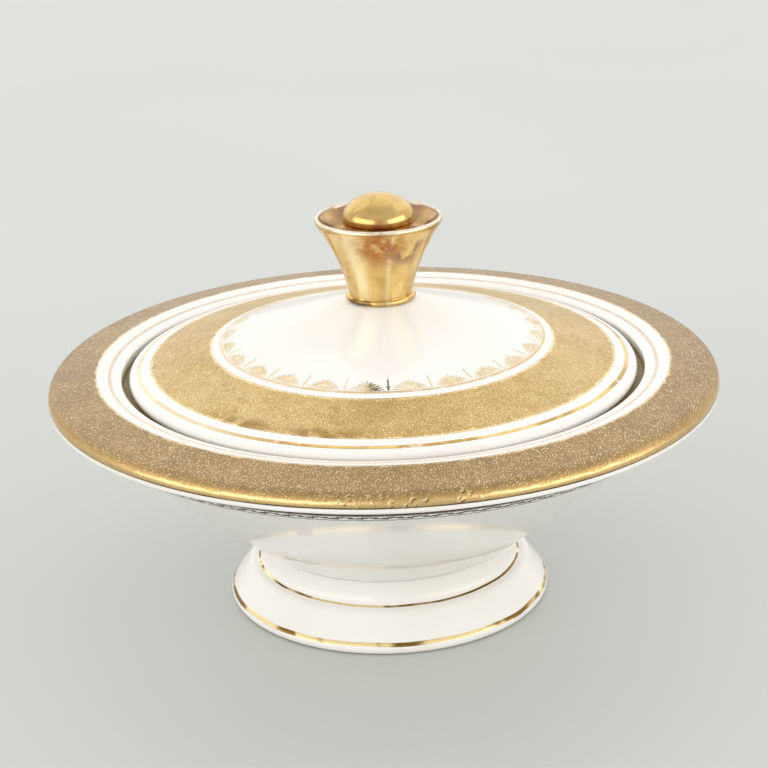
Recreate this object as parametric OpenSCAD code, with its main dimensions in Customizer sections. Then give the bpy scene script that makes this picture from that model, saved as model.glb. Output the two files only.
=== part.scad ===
// Covered porcelain sugar bowl on a hollow foot, with a lift-off lid and fired gilt bands.
// Millimetres, +Z up, origin at the centre of the foot in the plane of the table.
// Every sub-part is turned about the Z axis from an outline of [radius, height] points.

/* [Bowl] */
// Diameter over the rolled rim
rim_d = 190; // [188:1:194]
// Height of the rim's crest, where its gilding ends, above the table
crest_h = 71.3; // [70.5:0.1:72.5]
// Width of the gilded slope of the rim
rim_band_w = 13.9; // [13:0.1:14.5]
// Width of the white ring between the gilding and the recess of the lid
ring_w = 7; // [6:0.1:7.5]
// Width of the ledge that the lid rests on
ledge_w = 7.1; // [6:0.1:8]
// Depth of the recess that holds the lid's edge
seat_depth = 3.4; // [3:0.1:3.8]
// Thickness of the porcelain wall
wall = 3.6; // [3.2:0.1:4]

/* [Foot] */
// Diameter of the foot at its toe
foot_d = 93.4; // [91:0.2:95]
// Diameter of the foot's shoulder
shoulder_d = 76.4; // [75:0.2:78]
// Height of the foot's shoulder above the table
shoulder_h = 10.7; // [10:0.1:11.4]
// Height of the joint between the foot and the bowl
joint_h = 18.2; // [17.5:0.1:18.6]

/* [Lid] */
// Gap all round between the lid and the wall of its recess
lid_gap = 2; // [1.5:0.1:2.5]
// Width of the gilded band on the lid
lid_band_w = 17.6; // [16:0.2:19]
// Height of the lid's middle above the rim's crest
lid_rise = 17.7; // [16:0.1:19]
// Depth of the locating ring below the lid's edge
locating_depth = 6.5; // [5:0.5:7.5]

/* [Finial] */
// Diameter of the finial's collar, where it stands on the lid
collar_d = 19.8; // [18:0.2:21]
// Diameter over the lip of the finial's cup
cup_d = 35.7; // [34:0.1:37]
// Height of the cup's lip above the lid
cup_h = 23.9; // [22:0.1:26]
// Diameter of the ball that sits in the cup
ball_d = 20.2; // [19:0.1:21]
// Height of the ball's crown above the cup's lip
ball_rise = 6.2; // [5:0.1:7]

/* [Gilding] */
// Thickness of a fired layer of gold
gilt = 0.15; // [0.12:0.01:0.2]
// Number of arches in the lid's lace border
arch_count = 24; // [22:1:26]

/* [Hidden] */
$fn = 96;

porcelain = "ivory";
gold = "goldenrod";
hairline_w = 0.5;
rim_hairline_w = 1.3;
lace_turn = 9;

// Radii of the bowl, from the rim inward
rim_r = rim_d / 2;
crest_r = rim_r - rim_band_w;
seat_r = crest_r - ring_w;
mouth_r = seat_r - ledge_w;

// The rolled rim is an elliptical round, with a small lip of bare porcelain under it
roll_rx = 2.3;
roll_rz = 2.5;
roll_c = [rim_r - roll_rx, crest_h - 4.3];
roll_end = -45;
lip_r = 1.15;
lip_c = [rim_r - 1.85, crest_h - 6.95];

// The recess of the lid
seat_top = crest_h - 1.4;
seat_z = seat_top - seat_depth;
seat_round = 0.5;

// The bowl's straight conical wall
neck_r = shoulder_d / 2 - 0.8;
cone_in = [neck_r + 6.6, joint_h + 5.1];
cone_out = [rim_r - 7, crest_h - 10.2];

// The foot
foot_r = foot_d / 2;
shoulder_r = shoulder_d / 2;
toe_r = 1.7;
toe_c = [foot_r - toe_r, toe_r];

// The lid
lid_r = seat_r - lid_gap;
lid_z = seat_z + 0.05;
lid_top_z = crest_h + lid_rise;
edge_r = lid_r - 2.7;
band_out_r = edge_r - 3.5;
band_in_r = band_out_r - lid_band_w;
hairline_r = band_in_r - 2;
locating_r = mouth_r - 1.8;

// The finial
collar_r = collar_d / 2;
waist_r = collar_r - 1.05;
cup_r = cup_d / 2;
cup_z = lid_top_z + cup_h;
ball_r = ball_d / 2;
ball_rz = 6.9;
ball_z = cup_z + ball_rise - ball_rz;
cup_floor_z = cup_z - 6.3;

// Points along an elliptical arc about centre c, from angle a0 to a1 in n steps
function arc(c, rx, rz, a0, a1, n) =
    [for (i = [0 : n]) let (a = a0 + (a1 - a0) * i / n) c + [rx * cos(a), rz * sin(a)]];

function reversed(points) = [for (i = [len(points) - 1 : -1 : 0]) points[i]];

// A point on the straight line from p to q, at radius r
function at_radius(p, q, r) = p + (q - p) * (r - p[0]) / (q[0] - p[0]);

// A thin layer let into a straight surface. The solid lies to the right of the line p to q.
function layer(p, q, proud = 0) =
    let (d = q - p, inward = [d[1], -d[0]] * gilt / norm(d))
    [p - proud * inward, q - proud * inward, q + inward, p + inward];

// The recess that a layer leaves in the outline around it, from its point q back to p
function recess(outline) = [outline[1], outline[2], outline[3], outline[0]];

// Top of the lid: a shallow tent that flattens a little towards its edge
lid_marks = [[collar_r, lid_top_z], [hairline_r, crest_h + 5.9], [band_in_r, crest_h + 5.3],
             [band_out_r, crest_h + 0.95], [edge_r, crest_h - 0.1]];
function lid_at(r) = [r, lookup(r, lid_marks)];

// White ring between the gilding and the recess
ring_in = [seat_r + seat_round, seat_top];
ring_out = [crest_r, crest_h];

// ---- gold layers in outline ----
rim_roll = arc(roll_c, roll_rx, roll_rz, 90, roll_end, 9);
rim_roll_back = arc(roll_c, roll_rx - gilt, roll_rz - gilt, roll_end, 90, 9);
ring_out_back = ring_out - [0, gilt];

rim_line_r = seat_r + 2.2;
rim_hairline_outline = layer(at_radius(ring_in, ring_out, rim_line_r),
                             at_radius(ring_in, ring_out, rim_line_r + rim_hairline_w));
underside_lace_outline = layer(at_radius(cone_in, cone_out, cone_out[0] - 0.1),
                               at_radius(cone_in, cone_out, cone_out[0] - 3.3));
lid_edge_line_outline = layer(lid_at(edge_r - 1), lid_at(edge_r));
lid_gold_band_outline = layer(lid_at(band_in_r), lid_at(band_out_r));
lid_hairline_outline = layer(lid_at(hairline_r - hairline_w), lid_at(hairline_r));

// ---- bowl ----
inner_rise = wall * 1.3;

module bowl_outline() {
    polygon(concat(
        // underside, out to the lip of the rim
        [[0, joint_h], [neck_r, joint_h], [neck_r + 2.3, joint_h + 1.5], cone_in],
        recess(underside_lace_outline),
        [cone_out, [rim_r - 4.5, crest_h - 8.8]],
        arc(lip_c, lip_r, lip_r, -90, 20, 4),
        // bed of the rim's gilding, white ring, recess of the lid and mouth
        [rim_roll[9]],
        rim_roll_back,
        [ring_out_back, ring_out],
        recess(rim_hairline_outline),
        [ring_in],
        arc([seat_r + seat_round, seat_top - seat_round], seat_round, seat_round, 120, 180, 2),
        [[seat_r, seat_z], [mouth_r, seat_z], [mouth_r, seat_z - wall]],
        // hollow under the shoulder, inner face of the cone and floor
        [[seat_r + 2, seat_z - wall], [crest_r - 1, crest_h - wall - 0.6]],
        [[rim_r - 8, crest_h - wall - 1.3], [rim_r - 6.8, crest_h - wall - 2.2]],
        [at_radius(cone_in, cone_out, rim_r - 11) + [0, inner_rise], cone_in + [-3.2, inner_rise - 2.7]],
        [[neck_r - 2, joint_h + wall + 0.6], [neck_r - 7, joint_h + wall], [0, joint_h + wall]]));
}

module bowl() {
    color(porcelain) rotate_extrude() bowl_outline();
}

module rim_gold_band() {
    color(gold) rotate_extrude() polygon(concat([ring_out], rim_roll, rim_roll_back, [ring_out_back]));
}

module rim_hairline() {
    color(gold) rotate_extrude() polygon(rim_hairline_outline);
}

module underside_lace() {
    color(gold) rotate_extrude() polygon(underside_lace_outline);
}

// ---- foot ----
shoulder_round = arc([shoulder_r + 0.8, shoulder_h - 3.06], 3, 3, 90, 30, 4);
slope_top = shoulder_round[4];
slope_end = toe_c + toe_r * [cos(25), sin(25)];
neck_foot = [shoulder_r - 0.7, shoulder_h];

shoulder_line_outline = layer(at_radius(neck_foot, shoulder_round[0], neck_foot[0] + 0.1),
                              at_radius(neck_foot, shoulder_round[0], neck_foot[0] + 1.3));
toe_line_outline = layer(at_radius(slope_top, slope_end, slope_end[0] - 0.9),
                         at_radius(slope_top, slope_end, slope_end[0] - 0.1));

module foot_outline() {
    polygon(concat(
        // outside: toe, slope, shoulder and the hollow of the neck
        arc(toe_c, toe_r, toe_r, -90, 25, 6),
        recess(toe_line_outline),
        reversed(shoulder_round),
        recess(shoulder_line_outline),
        [neck_foot],
        arc(neck_foot + [0, 4.1], 1, 4.1, 248, 140, 5),
        [[neck_r, joint_h]],
        // inside, open below
        [[neck_r - wall, joint_h], [neck_r - wall, shoulder_h - 1], [foot_r - 5.6, 1.6], [foot_r - 4.9, 0]]));
}

module foot() {
    color(porcelain) rotate_extrude() foot_outline();
}

module shoulder_line() {
    color(gold) rotate_extrude() polygon(shoulder_line_outline);
}

module toe_line() {
    color(gold) rotate_extrude() polygon(toe_line_outline);
}

// ---- lid ----
module lid_outline() {
    polygon(concat(
        // top with the beds of its gilding, down to the rounded edge
        [[0, lid_top_z], lid_marks[0]],
        reversed(recess(lid_hairline_outline)),
        reversed(recess(lid_gold_band_outline)),
        reversed(recess(lid_edge_line_outline)),
        arc([lid_r - 2.2, lid_z + 2.4], 2.2, 2, 60, -50, 6),
        // bearing face and locating ring
        [[lid_r - 1.6, lid_z], [locating_r, lid_z], [locating_r - 0.2, lid_z - locating_depth + 0.8]],
        [[locating_r - 1, lid_z - locating_depth], [locating_r - 2.4, lid_z - locating_depth]],
        [[locating_r - 3.2, lid_z - locating_depth + 0.8]],
        // underside of the tent
        [lid_at(locating_r - 3.4) - [0, wall + 0.6], lid_at(hairline_r) - [0, wall]],
        [[collar_r, lid_top_z - wall], [0, lid_top_z - wall]]));
}

// Plan of the lace border: a ring with an arch of gold for each motif
module lace_plan() {
    arch_r = PI * (hairline_r - 3.4) / arch_count;
    union() {
        difference() {
            circle(r = hairline_r - 0.9);
            circle(r = hairline_r - 3.4);
        }
        for (i = [0 : arch_count - 1]) {
            rotate(lace_turn + i * 360 / arch_count)
                translate([hairline_r - 3, 0]) circle(r = arch_r * 0.42, $fn = 24);
        }
    }
}

module lid_lace_solid(proud = 0) {
    intersection() {
        rotate_extrude() polygon(layer(lid_at(hairline_r - 5.4), lid_at(hairline_r - 0.8), proud));
        translate([0, 0, crest_h]) linear_extrude(height = lid_rise) lace_plan();
    }
}

module lid() {
    color(porcelain) difference() {
        rotate_extrude() lid_outline();
        lid_lace_solid(proud = 2);
    }
}

module lid_edge_line() {
    color(gold) rotate_extrude() polygon(lid_edge_line_outline);
}

module lid_gold_band() {
    color(gold) rotate_extrude() polygon(lid_gold_band_outline);
}

module lid_hairline() {
    color(gold) rotate_extrude() polygon(lid_hairline_outline);
}

module lid_lace() {
    color(gold) lid_lace_solid();
}

// ---- finial ----
// The cup's side flares from the waist towards the lip: its radius and height at t from 0 to 1
flare_end = cup_r + 0.25;
function flare(t) = waist_r + (flare_end - waist_r) * (0.48 * t + 0.52 * t * t);
function flare_z(t) = lid_top_z + 1.7 + (cup_h - 2.5) * t;

module finial_cup() {
    color(gold) rotate_extrude() polygon(concat(
        // base and collar
        [[0, lid_top_z], [collar_r - 0.8, lid_top_z]],
        arc([collar_r - 0.8, lid_top_z + 0.8], 0.8, 0.8, -90, 75, 5),
        // flared side, turned out at the top into a thin rounded lip
        [for (i = [0 : 8]) [flare(i * 0.107), flare_z(i * 0.107)]],
        [[cup_r - 0.9, cup_z - 2.7]],
        arc([cup_r - 0.6, cup_z - 1], 0.6, 1, -60, 180, 7),
        // inside of the cup, down to its floor
        [for (i = [9 : -1 : 8]) [flare(i / 10) - 1.5, flare_z(i / 10)]],
        [[flare(0.75) - 1.9, cup_floor_z + 0.5], [flare(0.7) - 3, cup_floor_z], [0, cup_floor_z]]));
}

module finial_ball() {
    foot_angle = -asin((ball_z - cup_floor_z) / ball_rz);
    color(gold) rotate_extrude()
        polygon(concat([[0, cup_floor_z]], arc([0, ball_z], ball_r, ball_rz, foot_angle, 90, 14)));
}

bowl();
foot();
rim_gold_band();
rim_hairline();
underside_lace();
shoulder_line();
toe_line();
lid();
lid_edge_line();
lid_gold_band();
lid_hairline();
lid_lace();
finial_cup();
finial_ball();
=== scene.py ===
import math

import bpy
import numpy as np
from mathutils import Matrix, Vector


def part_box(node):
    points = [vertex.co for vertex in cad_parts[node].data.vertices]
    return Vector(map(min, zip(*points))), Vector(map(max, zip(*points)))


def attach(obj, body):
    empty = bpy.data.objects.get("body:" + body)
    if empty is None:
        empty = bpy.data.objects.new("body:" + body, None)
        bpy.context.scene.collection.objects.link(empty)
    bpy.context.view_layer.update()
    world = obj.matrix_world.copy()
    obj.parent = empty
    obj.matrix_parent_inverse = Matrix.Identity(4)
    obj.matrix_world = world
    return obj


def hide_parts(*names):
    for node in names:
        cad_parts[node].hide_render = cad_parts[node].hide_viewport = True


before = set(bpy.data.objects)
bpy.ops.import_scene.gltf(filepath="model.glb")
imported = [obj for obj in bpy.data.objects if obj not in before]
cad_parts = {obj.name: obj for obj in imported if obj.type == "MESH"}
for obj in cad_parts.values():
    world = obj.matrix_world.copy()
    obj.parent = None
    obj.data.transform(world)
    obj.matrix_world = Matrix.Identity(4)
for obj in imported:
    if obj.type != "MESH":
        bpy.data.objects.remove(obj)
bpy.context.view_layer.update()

MM = 0.001


def high(node):
    """Highest corner of a CAD node in millimetres."""
    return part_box(node)[1] / MM


RIM_R, CREST_Z = high("rim_gold_band").x, high("rim_gold_band").z
FOOT_R, JOINT_Z = high("foot").x, high("foot").z
LID_R, LID_TOP = high("lid").x, high("lid").z
CUP_R, CUP_Z = high("finial_cup").x, high("finial_cup").z
BALL_R, BALL_TOP = high("finial_ball").x, high("finial_ball").z
HAIRLINE_R = high("lid_hairline").x
BAND_OUT_R = high("lid_gold_band").x
BAND_IN_R = HAIRLINE_R + 2
EDGE_R = high("lid_edge_line").x
# Segments round the axis, for the smaller and the larger bodies
FINE, FINEST = 256, 320


# ---------------------------------------------------------------- outlines
def rounded(points, steps=6, longest=1.6):
    """An outline of [r, z] or [r, z, cut] points as a dense line; cut is how far a rounded corner reaches."""
    dense = []
    count = len(points)
    for i, point in enumerate(points):
        here = np.array(point[:2], float)
        cut = point[2] if len(point) > 2 else 0
        if cut and 0 < i < count - 1:
            back = np.array(points[i - 1][:2], float) - here
            ahead = np.array(points[i + 1][:2], float) - here
            a = here + back * min(cut / np.linalg.norm(back), 0.48)
            b = here + ahead * min(cut / np.linalg.norm(ahead), 0.48)
            for t in np.linspace(0, 1, steps + 1):
                dense.append((1 - t) ** 2 * a + 2 * t * (1 - t) * here + t * t * b)
        else:
            dense.append(here)
    out = [dense[0]]
    for point in dense[1:]:
        gap = np.linalg.norm(point - out[-1])
        if gap < 1e-4:
            continue
        pieces = max(1, math.ceil(gap / longest))
        start = out[-1]
        out += [start + (point - start) * k / pieces for k in range(1, pieces + 1)]
    return np.array(out)


def arc(centre, rx, rz, first, last, steps):
    """Points along an elliptical arc between two angles in degrees."""
    t = np.radians(np.linspace(first, last, steps + 1))
    return [[centre[0] + rx * math.cos(a), centre[1] + rz * math.sin(a)] for a in t]


def normals_of(line, loop=False):
    """Unit normals on the right-hand side of a line of points, weighted by the lengths beside each."""
    if loop:
        before, after = line - np.roll(line, 1, 0), np.roll(line, -1, 0) - line
    else:
        step = np.diff(line, axis=0)
        before, after = np.vstack([step[:1], step]), np.vstack([step, step[-1:]])
    direction = sum(piece * np.linalg.norm(piece, axis=1)[:, None] for piece in (before, after))
    normal = np.stack([direction[:, 1], -direction[:, 0]], 1)
    return normal / np.linalg.norm(normal, axis=1)[:, None]


class Skin:
    """A line along the surface, from which places and normals are read by the distance along it."""

    def __init__(self, line, side):
        self.line = np.array(line, float)
        self.far = np.concatenate([[0], np.cumsum(np.linalg.norm(np.diff(self.line, axis=0), axis=1))])
        self.normal = normals_of(self.line) * side

    def at(self, far):
        place = [np.interp(far, self.far, self.line[:, k]) for k in (0, 1)]
        normal = np.stack([np.interp(far, self.far, self.normal[:, k]) for k in (0, 1)], -1)
        normal /= np.linalg.norm(normal, axis=-1, keepdims=True)
        return place[0], place[1], normal[..., 0], normal[..., 1]

    def distance_at_radius(self, radius):
        order = np.argsort(self.line[:, 0])
        return float(np.interp(radius, self.line[order, 0], self.far[order]))


# ---------------------------------------------------------------- meshes
def add_mesh(name, points, faces, material):
    """A smooth-shaded object from points in millimetres."""
    mesh = bpy.data.meshes.new(name)
    mesh.from_pydata((np.asarray(points) * MM).tolist(), [], faces)
    mesh.polygons.foreach_set("use_smooth", np.ones(len(mesh.polygons), bool))
    mesh.materials.append(material)
    mesh.update()
    piece = bpy.data.objects.new(name, mesh)
    bpy.context.scene.collection.objects.link(piece)
    return piece


def turned(name, line, material, segments=FINE, loop=False):
    """Turns a line about the Z axis. line is [points, 2], or [segments, points, 2] where it changes round
    the axis. A line that isn't a loop starts and ends on the axis, and the outside is on its right."""
    line = np.asarray(line, float)
    rows = line if line.ndim == 3 else np.repeat(line[None], segments, 0)
    segments, count = rows.shape[:2]
    angle = np.arange(segments) * 2 * math.pi / segments
    c, s = np.cos(angle)[:, None], np.sin(angle)[:, None]
    inner = rows if loop else rows[:, 1:-1]
    width = inner.shape[1]
    points = np.stack([inner[..., 0] * c, inner[..., 0] * s, inner[..., 1]], -1).reshape(-1, 3)
    i = np.arange(segments)[:, None]
    j = np.arange(width if loop else width - 1)[None]
    nxt, up = (i + 1) % segments, (j + 1) % width
    quads = np.stack([i * width + j, nxt * width + j, nxt * width + up, i * width + up], -1)
    faces = quads.reshape(-1, 4).tolist()
    if not loop:
        low, top = len(points), len(points) + 1
        points = np.vstack([points, [0, 0, rows[0, 0, 1]], [0, 0, rows[0, -1, 1]]])
        ring, after = np.arange(segments) * width, (np.arange(segments) + 1) % segments * width
        faces += [[low, int(b), int(a)] for a, b in zip(ring, after)]
        faces += [[top, int(a) + width - 1, int(b) + width - 1] for a, b in zip(ring, after)]
    piece = add_mesh(name, points, faces, material)
    if line.ndim == 2:
        flat = normals_of(line, loop)
        shown = flat if loop else flat[1:-1]
        each = np.stack([shown[None, :, 0] * c, shown[None, :, 0] * s,
                         np.repeat(shown[None, :, 1], segments, 0)], -1).reshape(-1, 3)
        if not loop:
            each = np.vstack([each, [0, 0, np.sign(flat[0, 1] or -1)], [0, 0, np.sign(flat[-1, 1] or 1)]])
        piece.data.normals_split_custom_set_from_vertices(each.tolist())
    return piece


def banded(seed, segments, rows, mm_round, mm_across, wavelength, spread):
    """Smooth random ripples of about one wavelength in mm, with unit deviation, closed round the circle."""
    tall = 1 << max(5, math.ceil(math.log2(rows + 8)))
    noise = np.random.default_rng(seed).standard_normal((segments, tall))
    fx = np.fft.fftfreq(segments, mm_round)[:, None]
    fy = np.fft.fftfreq(tall, mm_across)[None]
    far = np.hypot(fx, fy) * wavelength
    field = np.fft.ifft2(np.fft.fft2(noise) * np.exp(-((far - 1) / spread) ** 2)).real[:, :rows]
    return field / field.std()


def smooth(low, top, value):
    t = np.clip((value - low) / (top - low), 0, 1)
    return t * t * (3 - 2 * t)


# ---------------------------------------------------------------- materials
class Paint:
    """Builds a node material round one Principled shader."""

    def __init__(self, name, **plain):
        self.material = bpy.data.materials.new(name)
        self.material.use_nodes = True
        self.tree = self.material.node_tree
        self.shader = self.tree.nodes["Principled BSDF"]
        for socket, value in plain.items():
            self.shader.inputs[socket.replace("_", " ")].default_value = value
        self.place = self.node("ShaderNodeTexCoord").outputs["Object"]

    def node(self, kind, inputs=None, **settings):
        made = self.tree.nodes.new(kind)
        for key, value in settings.items():
            setattr(made, key, value)
        for key, value in (inputs or {}).items():
            self.feed(made.inputs[key], value)
        return made

    def feed(self, socket, value):
        if isinstance(value, bpy.types.NodeSocket):
            self.tree.links.new(value, socket)
        else:
            socket.default_value = value

    def set(self, socket, value):
        self.feed(self.shader.inputs[socket], value)

    def noise(self, scale, detail=3, rough=0.5, warp=0.0, place=None):
        inputs = {"Vector": place or self.place, "Scale": scale, "Detail": detail, "Roughness": rough,
                  "Distortion": warp}
        return self.node("ShaderNodeTexNoise", inputs).outputs["Fac"]

    def cells(self, scale):
        return self.node("ShaderNodeTexVoronoi", {"Vector": self.place, "Scale": scale}).outputs["Distance"]

    def math(self, operation, a, b=0.0):
        return self.node("ShaderNodeMath", {0: a, 1: b}, operation=operation).outputs[0]

    def ramp(self, value, low, top, to_low=0.0, to_top=1.0):
        inputs = {"Value": value, "From Min": low, "From Max": top, "To Min": to_low, "To Max": to_top}
        return self.node("ShaderNodeMapRange", inputs, interpolation_type="SMOOTHSTEP").outputs[0]

    def mix(self, share, a, b):
        node = self.node("ShaderNodeMix", data_type="RGBA")
        for index, value in ((0, share), (6, a), (7, b)):
            self.feed(node.inputs[index], value)
        return node.outputs[2]

    def grains(self, scale, share, size):
        """Round raised grains: 1 on a grain and 0 between, with only a share of the cells filled."""
        node = self.node("ShaderNodeTexVoronoi", {"Vector": self.place, "Scale": scale})
        parts = self.node("ShaderNodeSeparateColor", {"Color": node.outputs["Color"]})
        picked = self.math("LESS_THAN", parts.outputs[0], share)
        return self.math("MULTIPLY", self.ramp(node.outputs["Distance"], size * 0.35, size, 1, 0), picked)

    def axis(self, name):
        return self.node("ShaderNodeSeparateXYZ", {"Vector": self.place}).outputs[name]

    def radius(self):
        """Distance from the Z axis in metres."""
        flat = self.node("ShaderNodeVectorMath", {0: self.place, 1: (1, 1, 0)}, operation="MULTIPLY")
        return self.node("ShaderNodeVectorMath", {0: flat.outputs[0]}, operation="LENGTH").outputs["Value"]

    def between(self, value, low, top, soft):
        """1 where a value in metres lies between two limits, with soft edges."""
        rising = self.ramp(value, low - soft, low + soft)
        return self.math("MULTIPLY", rising, self.ramp(value, top - soft, top + soft, 1, 0))

    def distance(self, point):
        """Distance in metres from a point, as a socket."""
        away = self.node("ShaderNodeVectorMath", {0: self.place, 1: point}, operation="SUBTRACT")
        length = self.node("ShaderNodeVectorMath", {0: away.outputs[0]}, operation="LENGTH")
        return length.outputs["Value"]

    def attribute(self, name):
        return self.node("ShaderNodeAttribute", attribute_name=name).outputs["Fac"]

    def bump(self, *layers):
        """Layers are (height socket, distance in metres, strength)."""
        normal = None
        for height, distance, strength in layers:
            inputs = {"Height": height, "Distance": distance, "Strength": strength}
            if normal is not None:
                inputs["Normal"] = normal
            normal = self.node("ShaderNodeBump", inputs).outputs["Normal"]
        self.set("Normal", normal)


def colour(r, g, b):
    """A linear colour from sRGB numbers of 0 to 255."""
    def linear(v):
        v /= 255
        return v / 12.92 if v <= 0.04045 else ((v + 0.055) / 1.055) ** 2.4
    return linear(r), linear(g), linear(b), 1.0


def make_porcelain(name, bare_and_shade):
    """Warm white glaze: soft pooling of tone, a faint ripple and rare fine specks. The mask function passed
    in gives, from 0 to 1, the places without glaze, which are matt and olive: stained on the foot, painted
    shade in the gap between lid and bowl."""
    p = Paint(name, IOR=1.52)
    tone = p.mix(p.ramp(p.noise(22, 2), 0.35, 0.7), colour(243, 241, 237), colour(239, 236, 230))
    speck = p.ramp(p.cells(420), 0.035, 0.06)
    shown = p.math("MAXIMUM", speck, p.ramp(p.noise(95, 1), 0.6, 0.63, 1, 0))
    tone = p.mix(shown, colour(203, 190, 168), tone)
    rough = p.ramp(p.noise(130, 3), 0.3, 0.7, 0.06, 0.11)
    mask = bare_and_shade(p)
    # painted shade: this dark olive, on the bowl's ledge and the lid's edge, stands for the shade in the gap
    # between lid and bowl
    grain = p.mix(p.ramp(p.noise(700, 4, 0.6), 0.3, 0.7), colour(178, 160, 116), colour(150, 132, 90))
    tone = p.mix(mask, tone, grain)
    rough = p.math("MAXIMUM", rough, p.math("MULTIPLY", mask, 0.6))
    p.set("Base Color", tone)
    p.set("Roughness", rough)
    p.bump((p.noise(34, 2), 0.0006, 0.05), (p.noise(260, 2), 0.00006, 0.12))
    return p.material


def make_etched_gold(name, dark, middle, light, stain, grain_scale, grain_share, stains, edges=()):
    """Gold fired over an etched ground: dull between the raised curls and grains, polished on top of them,
    where a lighter tone is a painted highlight. stains(paint) is a mask for the stain, and edges holds pairs
    of such a mask and its colour."""
    p = Paint(name, Metallic=1.0)
    relief = p.attribute("relief")
    coarse = p.grains(grain_scale, grain_share, 0.42)
    fine = p.grains(grain_scale * 1.9, 0.5, 0.4)
    tooth = p.noise(3200, 2, 0.6)
    grains = p.math("MULTIPLY", coarse, p.ramp(relief, 0.75, 0.6))
    raised = p.math("MAXIMUM", p.ramp(relief, 0.35, 0.95), grains)
    tone = p.mix(p.ramp(p.noise(70, 4, 0.6), 0.36, 0.64), dark, middle)
    tone = p.mix(p.math("MULTIPLY", p.ramp(tooth, 0.38, 0.66), 0.5), tone, dark)
    # painted highlight: the raised curls, grains and plain edges take the light tone
    tone = p.mix(p.math("MULTIPLY", raised, 0.85), tone, light)
    mottle = p.cells(grain_scale * 1.3)
    tone = p.mix(p.ramp(mottle, 0.5, 0.75, 0, 0.35), tone, stain)
    tone = p.mix(stains(p), tone, stain)
    for mask, shade in edges:
        tone = p.mix(mask(p), tone, shade)
    # painted highlight on the curls and painted shadow in the dips beside them
    curl_light_and_shadow = p.attribute("curl_light_and_shadow")
    tone = p.mix(p.ramp(curl_light_and_shadow, 0.2, 0.8, 0, 0.85), tone, light)
    tone = p.mix(p.ramp(curl_light_and_shadow, -0.55, -0.12, 0.8, 0), tone, colour(96, 72, 36))
    p.set("Base Color", tone)
    etched = p.ramp(relief, 0.78, 0.6)
    p.set("Roughness", p.math("ADD", p.ramp(raised, 0, 1, 0.36, 0.2), p.ramp(tooth, 0.3, 0.8, 0.07, -0.03)))
    p.bump((p.math("MULTIPLY", coarse, etched), 0.00007, 0.75),
           (p.math("MULTIPLY", fine, etched), 0.00003, 0.6), (tooth, 0.00003, 0.35))
    return p.material


def make_line_gold(name, bright, worn, share, metal=1.0, worn_metal=0.5, dark=None, pale=None):
    """Gold banding laid on by brush: bright, with thin worn places. dark is the tone of its darker stretches,
    which are painted dark reflections, and pale(paint) is a mask for where it is paler."""
    p = Paint(name)
    wear = p.ramp(p.noise(210, 4, 0.6, 0.5), share - 0.07, share + 0.07)
    if pale:
        wear = p.math("MAXIMUM", wear, pale(p))
    tone = p.mix(wear, bright, worn)
    if dark:
        # painted dark reflections in stretches along the line
        dark_reflection_runs = p.ramp(p.noise(48, 3, 0.55, 0.4), 0.47, 0.56)
        tone = p.mix(p.math("MULTIPLY", dark_reflection_runs, p.ramp(wear, 0, 1, 1, 0.3)), tone, dark)
    p.set("Base Color", tone)
    p.set("Metallic", p.ramp(wear, 0, 1, metal, worn_metal))
    p.set("Roughness", p.ramp(p.noise(900, 3), 0.3, 0.7, 0.1, 0.24))
    p.bump((p.noise(1400, 2), 0.00002, 0.35))
    return p.material


def make_lace_gold(name):
    """Thin printed gold, rubbed pale nearly everywhere and still dark in one place at the front."""
    kept_at = (-0.0005, -0.043, 0.078)
    p = Paint(name)
    wear = p.ramp(p.noise(260, 4, 0.6, 0.5), 0.4, 0.62)
    tone = p.mix(wear, colour(228, 208, 168), colour(236, 223, 196))
    kept = p.ramp(p.distance(kept_at), 0.0022, 0.0052, 1, 0)
    kept = p.math("MULTIPLY", kept, p.ramp(p.noise(700, 2), 0.4, 0.55, 0.5, 1))
    p.set("Base Color", p.mix(kept, tone, colour(104, 84, 44)))
    p.set("Metallic", p.ramp(wear, 0, 1, 0.25, 0.05))
    p.set("Roughness", p.ramp(p.noise(900, 3), 0.3, 0.7, 0.2, 0.4))
    p.bump((p.noise(1600, 2), 0.00002, 0.3))
    return p.material


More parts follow.
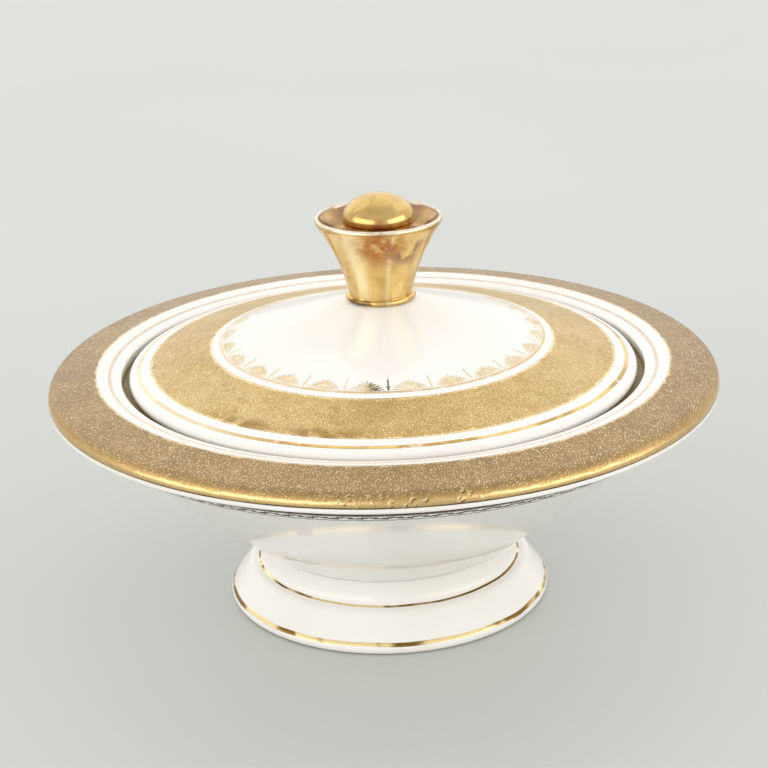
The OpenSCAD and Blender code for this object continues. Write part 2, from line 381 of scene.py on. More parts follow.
def make_finial_gold(name, bright, deep, highlight_streaks=True):
    """Bright gold over porcelain, tarnished red-brown and mauve in patches, worn to white at the lip, with
    painted highlights in bright vertical bands on the cup, and a painted dark reflection in patches round the
    cup's foot.
    """
    rust_at, mauve_at = (0.0, -0.0148, 0.1086), (0.0078, -0.0130, 0.1058)
    p = Paint(name)
    clouds = p.noise(95, 5, 0.62, 0.6)
    gold = p.mix(p.ramp(clouds, 0.35, 0.68), bright, deep)
    brush = p.node("ShaderNodeMapping", {"Vector": p.place, "Scale": (1, 1, 0.12)}).outputs["Vector"]
    brushed = p.ramp(p.noise(420, 4, 0.6, place=brush), 0.45, 0.7)
    gold = p.mix(p.math("MULTIPLY", brushed, 0.4), gold, colour(186, 146, 84))
    cloudy = p.ramp(p.noise(230, 5, 0.65, 0.3), 0.34, 0.54)
    rust = p.math("MULTIPLY", p.ramp(p.distance(rust_at), 0.002, 0.0098, 1, 0), cloudy)
    scattered = p.ramp(p.noise(170, 5, 0.7, 0.8), 0.55, 0.68)
    rust = p.math("MAXIMUM", rust, p.math("MULTIPLY", scattered, 0.55))
    # painted highlights: bright vertical bands on two sides of the cup
    if highlight_streaks:
        side = p.math("ARCTAN2", p.axis("X"), p.math("MULTIPLY", p.axis("Y"), -1.0))
        shine = p.math("MAXIMUM", p.between(side, -0.72, -0.34, 0.14), p.between(side, 0.16, 0.24, 0.07))
        shine = p.math("MULTIPLY", shine, p.ramp(clouds, 0.3, 0.5, 0.25, 0.7))
        gold = p.mix(shine, gold, colour(255, 240, 196))
    # painted dark reflection in patches round the cup's foot
    collar_dark_reflection = p.math("MULTIPLY", p.ramp(p.axis("Z"), (LID_TOP + 1.4) * MM, (LID_TOP + 1.9) * MM, 1, 0),
                    p.ramp(p.noise(150, 3, 0.6), 0.49, 0.57))
    gold = p.mix(p.math("MULTIPLY", collar_dark_reflection, 0.85), gold, colour(112, 80, 40))
    tone = p.mix(rust, gold, colour(178, 112, 64))
    streak = p.ramp(p.noise(260, 4, 0.6, 0.2), 0.45, 0.6)
    mauve = p.math("MULTIPLY", p.ramp(p.distance(mauve_at), 0.002, 0.0078, 1, 0), streak)
    inside = p.math("MULTIPLY", p.attribute("inside"), p.ramp(p.noise(180, 4), 0.3, 0.6, 0.45, 0.95))
    tone = p.mix(p.math("MAXIMUM", mauve, inside), tone, colour(158, 122, 102))
    lip = p.math("MULTIPLY", p.attribute("lip"), p.ramp(p.noise(330, 3), 0.3, 0.52, 0.45, 1.0))
    tone = p.mix(lip, tone, colour(232, 224, 206))
    p.set("Base Color", tone)
    p.set("Metallic", p.ramp(lip, 0, 1, 1.0, 0.35))
    rough = p.ramp(p.noise(170, 4, 0.6), 0.3, 0.75, 0.11, 0.22)
    rough = p.math("ADD", rough, p.ramp(p.math("MAXIMUM", rust, mauve), 0, 1, 0, 0.12))
    p.set("Roughness", rough)
    p.bump((p.noise(240, 3, 0.55), 0.00012, 0.2), (p.noise(1500, 3), 0.00003, 0.35))
    return p.material


def left_side(p):
    """Grows from 0 in the middle to 1 at the left, seen from the front."""
    return p.ramp(p.axis("X"), -0.055, -0.015, 1, 0)


def bare_foot(p):
    """The foot's standing face."""
    return p.ramp(p.axis("Z"), 0.00012, 0.00035, 0.45, 0)


def seat_bare_and_shade(p):
    """The ledge of the bowl and the foot of the wall round it: unglazed and matt, and darkened as painted
    shade of the gap under the lid.
    """
    ring = p.between(p.radius(), (mouth_r + 2.4) * MM, (seat_r + 0.6) * MM, 0.0003)
    return p.math("MULTIPLY", ring, p.between(p.axis("Z"), (seat_z - 0.6) * MM, (seat_z + 1.2) * MM, 0.0007))


def lid_edge_bare_and_shade(p):
    """The lid's bearing face and the underside of its edge: unglazed and matt, and darkened as painted shade
    of the gap round the lid.
    """
    ring = p.ramp(p.radius(), (mouth_r - 2.5) * MM, (mouth_r - 1) * MM)
    return p.math("MULTIPLY", ring, p.ramp(p.axis("Z"), (seat_z + 0.7) * MM, (seat_z + 2.2) * MM, 1, 0))


def rim_stains(p):
    """Broad faint clouds."""
    return p.math("MULTIPLY", p.ramp(p.noise(38, 4, 0.62, 0.4), 0.54, 0.72), 0.4)


def rim_roll_painted_reflection(p):
    """The plain gold that turns over the edge, in a yellower tone that is a painted reflection."""
    return p.ramp(p.axis("Z"), (CREST_Z - 3.8) * MM, (CREST_Z - 1.9) * MM, 0.55, 0)


def rim_edge_dark_reflection(p):
    """A thin dark line of gold at the very edge, strongest at the front: a painted dark reflection."""
    low = p.ramp(p.axis("Z"), (CREST_Z - 5.65) * MM, (CREST_Z - 5.05) * MM, 1, 0)
    front_part = p.ramp(p.axis("Y"), -0.088, -0.06, 1, 0.35)
    return p.math("MULTIPLY", low, p.math("MULTIPLY", front_part, p.ramp(p.noise(120, 3), 0.3, 0.55, 0.6, 1)))


def lid_stains(p):
    """Brown staining at the front left of the band, near its outer edge, and faint clouds elsewhere."""
    left_at, middle_at = (-0.037, -0.0515, 0.0735), (-0.016, -0.0615, 0.0725)
    place = p.math("MINIMUM", p.distance(left_at), p.distance(middle_at))
    blotches = p.ramp(p.noise(170, 5, 0.62, 0.7), 0.4, 0.56)
    near = p.math("MULTIPLY", p.ramp(place, 0.003, 0.014, 1, 0), blotches)
    near = p.math("MULTIPLY", near, p.ramp(p.radius(), (BAND_OUT_R - 5.5) * MM, (BAND_OUT_R - 2) * MM))
    clouds = p.math("MULTIPLY", p.ramp(p.noise(300, 4, 0.6, 0.5), 0.56, 0.68), 0.35)
    return p.math("MAXIMUM", p.math("MULTIPLY", near, 0.85), clouds)


# ---------------------------------------------------------------- bowl
# Depth in mm of the bed that a gilt layer lies in, and of the layer's own back
GILT_BED, GILT_BACK = 0.2, 0.16
neck_r = FOOT_R - 9.3
roll_centre = [RIM_R - 3.6, CREST_Z - 5.4]
roll = arc(roll_centre, 3.5, 3.7, -5, 90, 20)
roll_bed = arc(roll_centre, 3.5 - GILT_BED, 3.7 - GILT_BED, -5, 90, 20)
lip_centre = [RIM_R - 0.95, CREST_Z - 6.4]
crest_r = RIM_R - 13.9
cone_in = [neck_r + 6.6, JOINT_Z + 5.1]
cone_out = [RIM_R - 7, CREST_Z - 10.2]
cove = [RIM_R - 4.2, CREST_Z - 7.9]
seat_r, seat_z, mouth_r = crest_r - 7, CREST_Z - 4.8, crest_r - 14.1

bowl_porcelain = make_porcelain("bowl_glaze", seat_bare_and_shade)
foot_porcelain = make_porcelain("foot_glaze", bare_foot)
lid_porcelain = make_porcelain("lid_glaze", lid_edge_bare_and_shade)
# On both gold bands the light tone is a painted highlight; on the rim the tones of the roll and of the very
# edge are painted reflections.
rim_gold = make_etched_gold(
    "rim_etched_gold", colour(150, 124, 88), colour(164, 137, 98), colour(250, 226, 176),
    colour(130, 104, 72), 1700, 0.42, rim_stains,
    [(rim_roll_painted_reflection, colour(214, 175, 106)), (rim_edge_dark_reflection, colour(76, 54, 26))])
lid_gold = make_etched_gold(
    "lid_etched_gold", colour(190, 160, 102), colour(208, 180, 126), colour(250, 230, 178),
    colour(152, 118, 66), 1700, 0.4, lid_stains)
line_gold = make_line_gold("banding_gold", colour(250, 226, 168), colour(232, 210, 168), 0.66,
                           dark=colour(134, 102, 48))
edge_gold = make_line_gold("lid_edge_gold", colour(226, 192, 122), colour(240, 224, 188), 0.6, 1.0, 0.3,
                           colour(186, 152, 92), left_side)
hair_gold = make_line_gold("hairline_gold", colour(212, 184, 136), colour(228, 210, 186), 0.56, 0.7, 0.2,
                           pale=left_side)
faded_gold = make_line_gold("faded_gold", colour(214, 194, 172), colour(222, 206, 188), 0.5, 0.2, 0.1)
# near-black underside gold: a painted dark reflection under the rim
under_gold_dark_reflection = make_line_gold("underside_gold_dark_reflection", colour(66, 51, 29), colour(100, 79, 46), 0.6)
lace_gold = make_lace_gold("lace_gold")
finial_gold = make_finial_gold("finial_gold", colour(232, 202, 134), colour(214, 174, 104))
ball_gold = make_finial_gold("finial_ball_gold", colour(214, 184, 118), colour(196, 160, 94), highlight_streaks=False)

underside = [[0, JOINT_Z], [neck_r - 4, JOINT_Z], [neck_r, JOINT_Z, 0.4], [neck_r + 2.3, JOINT_Z + 1.5, 2],
             [*cone_in, 3], [*cone_out, 1.5], [*cove, 1.5]]
lip = arc(lip_centre, 0.85, 0.85, -90, 20, 10)
ring = [[crest_r + 0.15, CREST_Z - GILT_BED, 0.1], [crest_r, CREST_Z, 0.35],
        [seat_r + 0.5, CREST_Z - 1.4, 0.45], [seat_r, CREST_Z - 1.9, 0.45], [seat_r, seat_z, 0.6],
        [mouth_r, seat_z, 0.7], [mouth_r, seat_z - 3.6, 1.2]]
inside = [[seat_r + 2, seat_z - 3.6, 2], [crest_r - 1, CREST_Z - 4.2, 2], [RIM_R - 8, CREST_Z - 4.9, 1],
          [RIM_R - 6.8, CREST_Z - 5.8, 1.2], [RIM_R - 11, CREST_Z - 8.95, 3],
          [neck_r + 3.4, JOINT_Z + 7.1, 6], [neck_r - 2, JOINT_Z + 4.2, 3],
          [neck_r - 7, JOINT_Z + 3.6, 3], [0, JOINT_Z + 3.6]]
bowl_line = rounded(underside + lip + [roll[0]] + roll_bed + ring + inside)
bowl = turned("bowl_body", bowl_line, bowl_porcelain, segments=FINEST)
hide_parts("bowl")
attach(bowl, "base")

# ---------------------------------------------------------------- foot
TOE = 1.7
toe_centre = [FOOT_R - TOE, TOE]
shoulder_r, shoulder_z = FOOT_R - 8.5, JOINT_Z - 7.5
neck_foot_r = shoulder_r - 0.7
shoulder_arc = arc([shoulder_r + 0.8, shoulder_z - 3.06], 3, 3, 30, 90, 8)
neck_arc = arc([neck_foot_r + 1.2, shoulder_z + 4.1], 2.2, 4.1, 268, 140, 20)
foot_line = rounded(
    [[FOOT_R - 4.9, 0, 0.3], [FOOT_R - 1.9, 0]] + arc(toe_centre, TOE, TOE, -90, 25, 12) + shoulder_arc
    + neck_arc + [[neck_r, JOINT_Z - 0.02], [neck_r - 3.6, JOINT_Z - 0.02]]
    + [[neck_r - 3.6, shoulder_z - 1, 2], [FOOT_R - 5.6, 1.6, 0.8], [FOOT_R - 4.95, 0.1]])
foot = turned("foot_body", foot_line, foot_porcelain, loop=True)
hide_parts("foot")
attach(foot, "base")

# ---------------------------------------------------------------- lid
lid_z = seat_z + 0.05
marks = [[0, LID_TOP], [9.9, LID_TOP, 2], [HAIRLINE_R, CREST_Z + 5.9, 3], [BAND_IN_R, CREST_Z + 5.3, 1],
         [BAND_OUT_R, CREST_Z + 0.95, 1.5], [EDGE_R, CREST_Z - 0.1, 1]]
lid_edge = arc([LID_R - 2.2, lid_z + 2.4], 2.2, 2, 60, -50, 14)
lid_top = Skin(rounded(marks + lid_edge), -1)
locating_r = mouth_r - 1.8
lid_under = [[LID_R - 1.6, lid_z, 0.3], [locating_r, lid_z, 0.5], [locating_r - 0.2, lid_z - 5.7, 0.6],
             [locating_r - 1, lid_z - 6.5, 0.6], [locating_r - 2.4, lid_z - 6.5, 0.6],
             [locating_r - 3.2, lid_z - 5.7, 0.8], [locating_r - 3.4, CREST_Z - 2.05, 1.5],
             [HAIRLINE_R, CREST_Z + 2.3, 3], [9.9, LID_TOP - 3.6, 3], [0, LID_TOP - 3.6]]


def sunk(line, start, end, depth):
    """A line with the part between two radii lowered, as the bed of a gilt layer."""
    line = line.copy()
    inside_bed = (line[:, 0] > start + 0.05) & (line[:, 0] < end - 0.05)
    line[inside_bed, 1] -= depth
    return line


WALL = 0.06
dome = lid_top.line[lid_top.line[:, 0] <= EDGE_R]
bed_walls = {BAND_IN_R, BAND_IN_R + WALL, BAND_OUT_R, BAND_OUT_R - WALL}
radii = sorted(set(np.round(lid_top.line[:, 0], 3)) | bed_walls)
dome_top = [dome[0]] + [[radius, np.interp(radius, *dome.T)] for radius in radii if 0 < radius <= EDGE_R]
top_line = np.vstack([dome_top, lid_top.line[len(rounded(marks)):]])
top_line = sunk(top_line, BAND_IN_R, BAND_OUT_R, GILT_BED)
under_line = rounded([lid_edge[-1]] + lid_under)
lid_line = np.vstack([top_line, under_line[1:]])[::-1]
lid = turned("lid_body", lid_line, lid_porcelain, segments=FINEST)
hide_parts("lid")
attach(lid, "lid")


# ---------------------------------------------------------------- gilding
def etched(seed, segments, far, mm_round, curl, density, plain):
    """Relief from 0 to 1 of an etched layer: rounded grains and short curls between two plain edges."""
    width, samples = far[-1], 96
    across = np.linspace(0, width, samples)
    size = (segments, samples, mm_round, width / (samples - 1))
    worms, sparse = banded(seed, *size, curl, 0.3), banded(seed + 1, *size, curl * 2.2, 0.5)
    dots = banded(seed + 2, *size, curl * 0.75, 0.3)
    ridge = np.exp(-(worms / 0.38) ** 2) * smooth(density, density + 0.6, sparse)
    relief = np.maximum(0.5 * ridge, 0.95 * smooth(0.4, 1.6, dots))
    relief = np.stack([np.interp(far, across, row) for row in relief])
    return np.clip(0.22 + 0.78 * relief, 0, 1) * field_mask(seed, segments, far, mm_round, plain)


def field_mask(seed, segments, far, mm_round, plain):
    """1 over the etched field and 0 over the plain edges, with a slightly wandering border. plain is the
    width of the two edges and how softly the first one fades."""
    wobble = banded(seed + 3, segments, 1, mm_round, 1, 6, 0.5) * 0.12
    return (smooth(plain[0], plain[0] + plain[2], far[None] + wobble)
            * smooth(plain[1], plain[1] + 0.5, far[-1] - far[None] - wobble))


def curls(seed, segments, far, mm_round, count, low, top):
    """Small open hooks scattered over part of a band, strongest at the front."""
    front_share, front_spread, half_width, reach = 0.76, 0.035, 0.21, 2.2
    rng = np.random.default_rng(seed)
    around = np.arange(segments) * mm_round
    whole = segments * mm_round
    out = np.zeros((segments, len(far)))
    for _ in range(count):
        u, v = rng.uniform(0, whole), rng.uniform(low, top)
        size, start = rng.uniform(0.42, 0.78), rng.uniform(-math.pi, math.pi)
        strong = 0.3 + 0.85 * math.exp(-((u / whole - front_share) / front_spread) ** 2)
        away = (around - u + whole / 2) % whole - whole / 2
        near = np.nonzero(np.abs(away) < reach)[0]
        du, dv = away[near][:, None], (far - v)[None]
        turn = (np.arctan2(dv, du) - start) % (2 * math.pi)
        grow = size * (0.65 + 0.35 * turn / 4.6)
        loop = np.exp(-((np.hypot(du, dv) - grow) / half_width) ** 2)
        loop = loop * smooth(0, 0.4, turn) * smooth(3.9, 3.3, turn)
        out[near] = np.maximum(out[near], loop * strong * rng.uniform(0.65, 1))
    return out


def gild(name, node, skin, start, far, relief, field, amplitude, material, body, curl_light_and_shadow_on=None):
    """A gold layer on a skin: etched relief sunk a little below its plain edges. field is 1 where it is
    etched. curl_light_and_shadow_on is a painted highlight above 0, on the curls, and a painted shadow below
    0, in the dips beside them."""
    ground, plain_height, plain_relief = -0.06, 0.02, 0.8
    curl_light_and_shadow_on = np.zeros_like(relief) if curl_light_and_shadow_on is None else curl_light_and_shadow_on
    segments, back_rows = len(relief), 7
    # the relief shown in the colour counts the plain edges as raised, so they also take the painted highlight
    # tone
    shown = relief + plain_relief * (1 - field)
    height = ground + amplitude * relief + (plain_height - ground) * (1 - field)
    height[:, 0] = height[:, -1] = 0.0
    r, z, nr, nz = skin.at(start + far)
    outer = np.stack([r + nr * height, z + nz * height], -1)
    back_far = start + np.linspace(far[-1], 0, back_rows)
    r, z, nr, nz = skin.at(back_far)
    back = np.stack([r - nr * GILT_BACK, z - nz * GILT_BACK], -1)
    back = np.broadcast_to(back, (segments, back_rows, 2))
    piece = turned(name, np.concatenate([outer, back], 1), material, loop=True)
    for label, front_values, back_value in (("relief", shown, 0.3), ("curl_light_and_shadow", curl_light_and_shadow_on, 0.0)):
        values = np.concatenate([front_values, np.full((segments, back_rows), back_value)], 1)
        attribute = piece.data.attributes.new(label, "FLOAT", "POINT")
        attribute.data.foreach_set("value", values.astype(np.float32).ravel())
    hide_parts(node)
    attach(piece, body)
    return piece


rim_skin = Skin(rounded(roll + [[crest_r, CREST_Z]]), 1)
rim_far = np.linspace(0, rim_skin.far[-1], 46)
RIM_SEGMENTS, RIM_MIDDLE_R = 1840, 89
rim_step = 2 * math.pi * RIM_MIDDLE_R / RIM_SEGMENTS
rim_plain = (1.5, 0.25, 0.9)
rim_field = field_mask(11, RIM_SEGMENTS, rim_far, rim_step, rim_plain)
rim_relief = etched(11, RIM_SEGMENTS, rim_far, rim_step, 1.1, 0.35, rim_plain)
loops = curls(5, RIM_SEGMENTS, rim_far, rim_step, 420, 0.5, 4.2) * smooth(0.15, 0.5, rim_far)
# dips beside the curls: lowered in the relief, and given a painted shadow
hollows_and_painted_shadow = np.clip(np.roll(loops, (1, -1), (0, 1)) - loops, 0, 1)
rim_relief = np.clip(np.maximum(rim_relief, loops * 1.2) - 0.5 * hollows_and_painted_shadow, 0, 1.3)
gild("rim_gilding", "rim_gold_band", rim_skin, 0, rim_far, rim_relief, rim_field, 0.1,
     rim_gold, "base", loops - hollows_and_painted_shadow)

band_start, band_end = lid_top.distance_at_radius(BAND_IN_R), lid_top.distance_at_radius(BAND_OUT_R)
band_far = np.linspace(0, band_end - band_start, 50)
BAND_SEGMENTS, BAND_MIDDLE_R = 1500, 57
band_step = 2 * math.pi * BAND_MIDDLE_R / BAND_SEGMENTS
band_plain = (0.45, 0.45, 0.5)
band_relief = etched(23, BAND_SEGMENTS, band_far, band_step, 1.15, 0.5, band_plain)
band_field = field_mask(23, BAND_SEGMENTS, band_far, band_step, band_plain)
gild("lid_gilding", "lid_gold_band", lid_top, band_start, band_far, band_relief, band_field, 0.05,
     lid_gold, "lid")


def brushed_line(name, node, skin, start, end, material, body, seed, uneven=0.08, proud=0.05):
    """A thin line of gold with slightly uneven edges, crowned a little above the glaze."""
    segments, rows, sunk_edge, back_depth = 360, 7, 0.01, 0.08
    wave = banded(seed, segments, 2, 1, 1, 24, 0.6) * uneven
    share = np.linspace(0, 1, rows)
    far = (start + wave[:, :1]) * (1 - share) + (end + wave[:, 1:]) * share
    r, z, nr, nz = skin.at(far)
    height = proud * np.sin(math.pi * share) ** 0.5 - sunk_edge
    outer = np.stack([r + nr * height, z + nz * height], -1)
    back = np.stack([r - nr * back_depth, z - nz * back_depth], -1)[:, [-1, 0]]
    piece = turned(name, np.concatenate([outer, back], 1), material, loop=True)
    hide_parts(node)
    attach(piece, body)
    return piece


ring_skin = Skin([[seat_r + 0.5, CREST_Z - 1.4], [crest_r, CREST_Z]][::-1], 1)
ring_length = ring_skin.far[-1]
brushed_line("rim_hairline_gilt", "rim_hairline", ring_skin, ring_length - 3.6, ring_length - 2.3,
             faded_gold, "base", 31, 0.04, 0.02)
edge_far = lid_top.distance_at_radius(EDGE_R)
brushed_line("lid_edge_line_gilt", "lid_edge_line", lid_top, edge_far - 1.0, edge_far + 0.35,
             edge_gold, "lid", 32)
hair_far = lid_top.distance_at_radius(HAIRLINE_R)
brushed_line("lid_hairline_gilt", "lid_hairline", lid_top, hair_far - 0.9, hair_far,
             hair_gold, "lid", 33, 0.03)
foot_skin = Skin(rounded(arc(toe_centre, TOE, TOE, 0, 25, 6) + shoulder_arc), 1)
neck_skin = Skin(rounded(neck_arc, longest=0.4), 1)
slope_far = TOE * math.radians(25)
brushed_line("foot_toe_line_gilt", "toe_line", foot_skin, slope_far + 0.1, slope_far + 1.4,
             line_gold, "base", 34, 0.07)
brushed_line("foot_shoulder_line_gilt", "shoulder_line", neck_skin, 0.2, 0.98, line_gold, "base", 35, 0.04)


# ---------------------------------------------------------------- lace borders
# Heights in mm from the skin: a leaf's crown, and the sides and the keel of every stroke
LEAF_TALL, STROKE_SIDE, STROKE_KEEL = 0.05, -0.02, -0.1


def strokes(name, node, skin, reference_r, motif, repeats, turn, material, body):
    """Leaves and lines of gold, repeated round the axis. A stroke is (points [u, v], half widths, height in
    mm): u runs round the axis at the reference radius and v along the skin."""
    points, faces = [], []
    for centre, half, tall in motif:
        centre = np.array(centre, float)
        if len(centre) == 2:
            centre = centre[0] + (centre[1] - centre[0]) * np.linspace(0, 1, 5)[:, None]
        half = np.interp(np.linspace(0, 1, len(centre)), np.linspace(0, 1, len(half)), half)[:, None]
        along = np.gradient(centre, axis=0)
        across = np.stack([-along[:, 1], along[:, 0]], 1) / np.linalg.norm(along, axis=1)[:, None]
        base, count = len(points), len(centre)
        corners = ((-1, STROKE_SIDE), (0, STROKE_KEEL), (1, STROKE_SIDE), (0, tall))
        sections = [np.column_stack([centre + side * across * half, np.full(count, height)])
                    for side, height in corners]
        points += np.stack(sections, 1).reshape(-1, 3).tolist()
        for i in range(count - 1):
            for j in range(4):
                a, b = base + i * 4 + j, base + i * 4 + (j + 1) % 4
                faces.append([a, b, b + 4, a + 4])
        faces.append([base + 3, base + 2, base + 1, base])
        last = base + (count - 1) * 4
        faces.append([last, last + 1, last + 2, last + 3])
    points, faces = np.array(points), np.array(faces)
    r, z, nr, nz = skin.at(points[:, 1])
    r, z = r + nr * points[:, 2], z + nz * points[:, 2]
    everything, all_faces = [], []
    for k in range(repeats):
        angle = points[:, 0] / reference_r + math.radians(turn) + 2 * math.pi * k / repeats
        everything.append(np.stack([r * np.cos(angle), r * np.sin(angle), z], 1))
        all_faces.append(faces + k * len(points))
    piece = add_mesh(name, np.vstack(everything), np.vstack(all_faces).tolist(), material)
    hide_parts(node)
    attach(piece, body)
    return piece


def leaf(foot_point, tip, bend, half, steps=7):
    """A leaf from foot to tip, bent sideways in the middle."""
    a, b = np.array(foot_point, float), np.array(tip, float)
    side = np.array([-(b - a)[1], (b - a)[0]]) * bend
    t = np.linspace(0, 1, steps)[:, None]
    centre = (1 - t) * a + t * b + side * 4 * t * (1 - t)
    return centre, [0.25 * half, 0.8 * half, half, 0.85 * half, 0.5 * half, 0.08 * half], LEAF_TALL


def both_sides(items):
    """Each stroke and its mirror image in u."""
    out = []
    for centre, half, tall in items:
        centre = np.array(centre, float)
        out += [(centre, half, tall), (centre * [-1, 1], half, tall)]
    return out


FRONT, LID_LACE_TURN = -90, 9.1
lace_r, arches = HAIRLINE_R - 2.8, 24
pitch = 2 * math.pi * lace_r / arches
inner = hair_far - 0.5


def lid_motif():
    """A crown of leaves over a scalloped swag, with a spike between crowns."""
    v0 = inner - 1.0
    crown = [leaf((0, v0), (0, v0 - 4.1), 0, 0.92)]
    crown += both_sides([
        leaf((0.35, v0), (1.45, v0 - 3.4), -0.1, 0.88), leaf((0.8, v0), (2.65, v0 - 2.7), -0.14, 0.84),
        leaf((1.3, v0), (3.6, v0 - 1.8), -0.16, 0.76), leaf((1.9, v0 + 0.1), (4.4, v0 - 0.85), -0.16, 0.62)])
    t = np.linspace(-1, 1, 15)
    swag = np.stack([t * 4.6, inner - 0.8 - 0.3 * t ** 2], 1)
    beads = [leaf((u - 0.3, inner - 0.4), (u + 0.3, inner - 0.4), 0, 0.14, steps=5)
             for u in np.arange(-4.6, 4.7, 1.15)]
    middle = pitch / 2
    spike = [([[middle, inner - 0.6], [middle, inner - 5.9]], [0.36, 0.34, 0.42, 0.44, 0.08], LEAF_TALL)]
    spike += [leaf((middle, inner - 1.6), (middle + d * 0.75, inner - 2.6), 0, 0.2, steps=5) for d in (-1, 1)]
    return crown + [(swag, [0.3, 0.42, 0.3], 0.045)] + beads + spike


strokes("lid_lace_gilt", "lid_lace", lid_top, lace_r, lid_motif(), arches, FRONT + LID_LACE_TURN,
        lace_gold, "lid")

cone_skin = Skin(rounded([cone_in, [*cone_out, 1.5], [*cove, 1.5], lip[0]]), 1)
lace_top = cone_skin.distance_at_radius(RIM_R - 7)


def underside_motif(width):
    """A running scroll of leaves below a plain line, with a fine scalloped edge."""
    t = np.linspace(0, 1, 9)[:, None]
    v = lace_top
    wave = np.concatenate([-width / 2 + width * t, v - 3.1 - 0.55 * np.sin(2 * math.pi * t)], 1)
    items = [(wave, [0.5, 0.7, 0.5], 0.05)]
    items += [leaf((-1.6, v - 3.2), (-0.1, v - 4.3), 0.25, 0.9),
              leaf((1.5, v - 2.8), (0.1, v - 2.0), 0.25, 0.9),
              leaf((-2.3, v - 3.4), (-2.9, v - 2.1), 0.2, 0.8),
              leaf((2.3, v - 2.6), (2.95, v - 4.0), 0.2, 0.8)]
    scallop = np.concatenate([-width / 2 + width * t, v - 4.7 - 0.3 * np.abs(np.sin(2 * math.pi * t))], 1)
    items += [(scallop, [0.34, 0.46, 0.34], 0.035)]
    # drawn wide, so that its dark gold also paints the shade line under the lip
    items += [([[-width / 2, v - 0.7], [width / 2 + 0.02, v - 0.7]], [1.35, 1.35], 0.05)]
    return items


lace_mid_r = RIM_R - 8
underside_count = 86
underside_pitch = 2 * math.pi * lace_mid_r / underside_count
strokes("underside_lace_gilt", "underside_lace", cone_skin, lace_mid_r, underside_motif(underside_pitch),
        underside_count, FRONT, under_gold_dark_reflection, "base")

# ---------------------------------------------------------------- finial
COLLAR_R, WAIST_R = 9.9, 8.85
flare_end = CUP_R + 0.25


def flare(t, inward=0.0):
    """The cup's side, from its waist at t = 0 to where it would reach its lip at t = 1."""
    radius = WAIST_R + (flare_end - WAIST_R) * (0.48 * t + 0.52 * t * t) - inward
    return [radius, LID_TOP + 1.7 + (CUP_Z - LID_TOP - 2.5) * t]


floor_z = CUP_Z - 6.3
bead = 0.8
outside = ([[0, LID_TOP - 0.05], [COLLAR_R - bead, LID_TOP - 0.05]]
           + arc([COLLAR_R - bead, LID_TOP + bead], bead, bead, -70, 100, 14)
           + [[WAIST_R + 0.12, LID_TOP + 1.72, 0.3]] + [flare(t) for t in np.linspace(0.03, 0.86, 22)]
           + [[CUP_R - 0.85, CUP_Z - 2.7, 0.8]])
cup_lip = arc([CUP_R - 0.6, CUP_Z - 1], 0.6, 1, -60, 180, 16)
cup_inside = ([flare(t, 1.5) for t in (0.9, 0.86, 0.82, 0.79)] + [[flare(0.75)[0] - 1.9, floor_z + 0.5, 0.8]]
              + [[flare(0.7)[0] - 3, floor_z, 1.2], [0, floor_z]])
cup_line = rounded(outside + cup_lip + cup_inside, longest=0.9)
cup = turned("finial_cup_body", cup_line, finial_gold, segments=192)
height_mm = np.array([v.co.z for v in cup.data.vertices]) / MM
radius_mm = np.array([math.hypot(v.co.x, v.co.y) for v in cup.data.vertices]) / MM
flare_r = np.interp(height_mm, *np.array([flare(t)[::-1] for t in np.linspace(0, 1, 30)]).T)
for name, values in (("lip", smooth(CUP_Z - 1.0, CUP_Z - 0.35, height_mm)),
                     ("inside", (radius_mm < flare_r - 0.6) & (height_mm > floor_z - 0.1))):
    attribute = cup.data.attributes.new(name, "FLOAT", "POINT")
    attribute.data.foreach_set("value", values.astype(np.float32))
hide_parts("finial_cup")
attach(cup, "lid")

ball_rz = 6.9
ball_z = BALL_TOP - ball_rz
foot_angle = -math.degrees(math.asin((ball_z - floor_z) / ball_rz))
ball_line = rounded([[0, floor_z - 0.05]] + arc([0, ball_z], BALL_R, ball_rz, foot_angle, 90, 40))
ball = turned("finial_ball_body", ball_line, ball_gold, segments=160)
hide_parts("finial_ball")
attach(ball, "lid")

# ---------------------------------------------------------------- floor, light and camera
paint = Paint("studio_floor", Roughness=0.55)
clouding = paint.ramp(paint.noise(3, 2), 0.3, 0.7)
paint.set("Base Color", paint.mix(clouding, colour(200, 203, 200), colour(204, 206, 203)))
floor_mesh = bpy.data.meshes.new("studio_floor")
reach, just_below = 12, -0.0001
corners = [(x * reach, y * reach, just_below) for x, y in ((-1, -1), (1, -1), (1, 1), (-1, 1))]
floor_mesh.from_pydata(corners, [], [(0, 1, 2, 3)])
floor_mesh.materials.append(paint.material)
studio_floor = bpy.data.objects.new("studio_floor", floor_mesh)
bpy.context.scene.collection.objects.link(studio_floor)


world = bpy.data.worlds.new("studio")
bpy.context.scene.world = world
world.use_nodes = True
tree = world.node_tree
link = tree.links.new
direction = tree.nodes.new("ShaderNodeTexCoord").outputs["Generated"]


def sky_node(kind, *inputs, **settings):
    """A node of the sky, with its inputs in order."""
    node = tree.nodes.new(kind)
    for key, value in settings.items():
        setattr(node, key, value)
    for socket, value in zip(node.inputs, inputs):
        if isinstance(value, bpy.types.NodeSocket):
            link(value, socket)
        else:
            socket.default_value = value
    return node


def dot(vector):
    return sky_node("ShaderNodeVectorMath", direction, vector, operation="DOT_PRODUCT").outputs["Value"]


def calc(operation, a, b=0.0):
    return sky_node("ShaderNodeMath", a, b, operation=operation).outputs[0]


def step(*limits):
    """A smooth step: the value, its two limits, and what they become."""
    return sky_node("ShaderNodeMapRange", *limits, interpolation_type="SMOOTHSTEP").outputs[0]


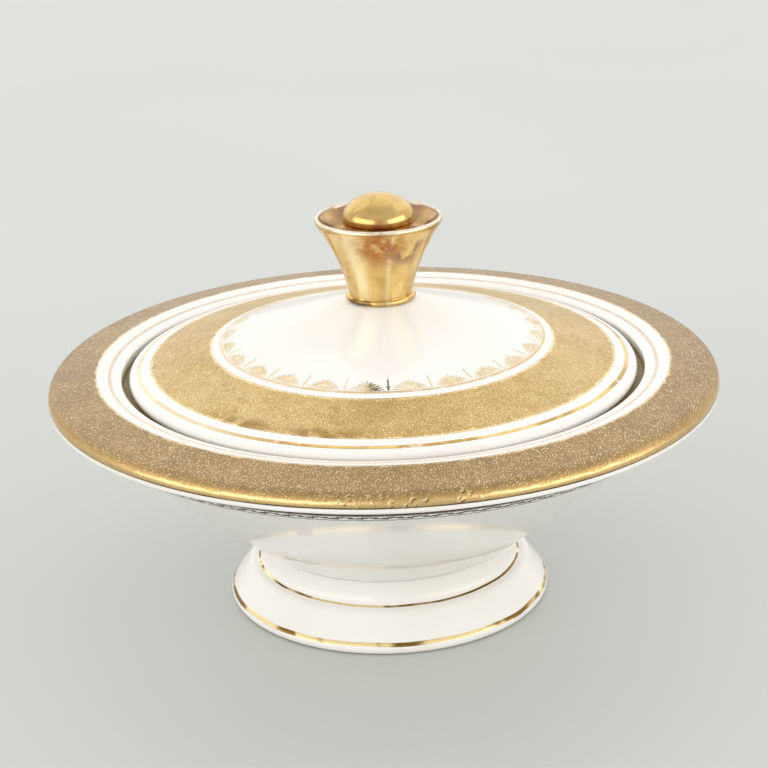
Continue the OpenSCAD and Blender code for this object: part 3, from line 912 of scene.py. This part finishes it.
def softbox(azimuth, elevation, half_width, half_height, strength, soft=0.1):
    """Brightness of a soft rectangular light in the sky. Azimuth 0 is the camera's side and grows to the
    right; the half sizes are tangents of angles."""
    a, e = math.radians(azimuth), math.radians(elevation)
    ahead = Vector((math.sin(a) * math.cos(e), -math.cos(a) * math.cos(e), math.sin(e)))
    side = Vector((math.cos(a), math.sin(a), 0))
    facing = dot(ahead)
    depth = calc("MAXIMUM", facing, 0.05)
    shape = step(facing, 0.1, 0.2)
    for axis, half in ((side, half_width), (ahead.cross(side), half_height)):
        away = calc("ABSOLUTE", calc("DIVIDE", dot(axis), depth))
        shape = calc("MULTIPLY", shape, step(away, half - soft, half + soft, 1, 0))
    return calc("MULTIPLY", shape, strength)


# The room is a little darker overhead and behind the camera
overhead = step(dot((0, 0, 1)), 0.7, 1.0, 1.0, 0.82)
behind_camera = step(dot((0, 1, 0)), -0.9, 0.1, 0.84, 1.0)
room = calc("MULTIPLY", overhead, behind_camera)
lights = calc("ADD", softbox(-50, 15, 0.72, 0.2, 2.0), softbox(62, 14, 0.6, 0.19, 2.1))
lights = calc("ADD", lights, softbox(180, 42, 1.3, 0.75, 0.34, 0.3))
backdrop = tree.nodes["Background"]
backdrop.inputs["Color"].default_value = (1.0, 0.99, 0.97, 1)
link(calc("ADD", room, lights), backdrop.inputs["Strength"])
bpy.context.scene.view_settings.view_transform = "Standard"

TILT, ROLL = math.radians(20.35), math.radians(-1.8)
CAMERA_PLACE = (0.000125, -0.53758, 0.26209)
forward = Vector((0, math.cos(TILT), -math.sin(TILT)))
right, up = Vector((1, 0, 0)), Vector((0, math.sin(TILT), math.cos(TILT)))
right, up = right * math.cos(ROLL) + up * math.sin(ROLL), up * math.cos(ROLL) - right * math.sin(ROLL)
camera_data = bpy.data.cameras.new("camera")
camera_data.lens, camera_data.sensor_width = 93.75, 36
camera_data.clip_start, camera_data.clip_end = 0.01, 100
camera = bpy.data.objects.new("camera", camera_data)
camera_turn = Matrix((right, up, -forward)).transposed().to_4x4()
camera.matrix_world = Matrix.Translation(CAMERA_PLACE) @ camera_turn
bpy.context.scene.collection.objects.link(camera)
bpy.context.scene.camera = camera
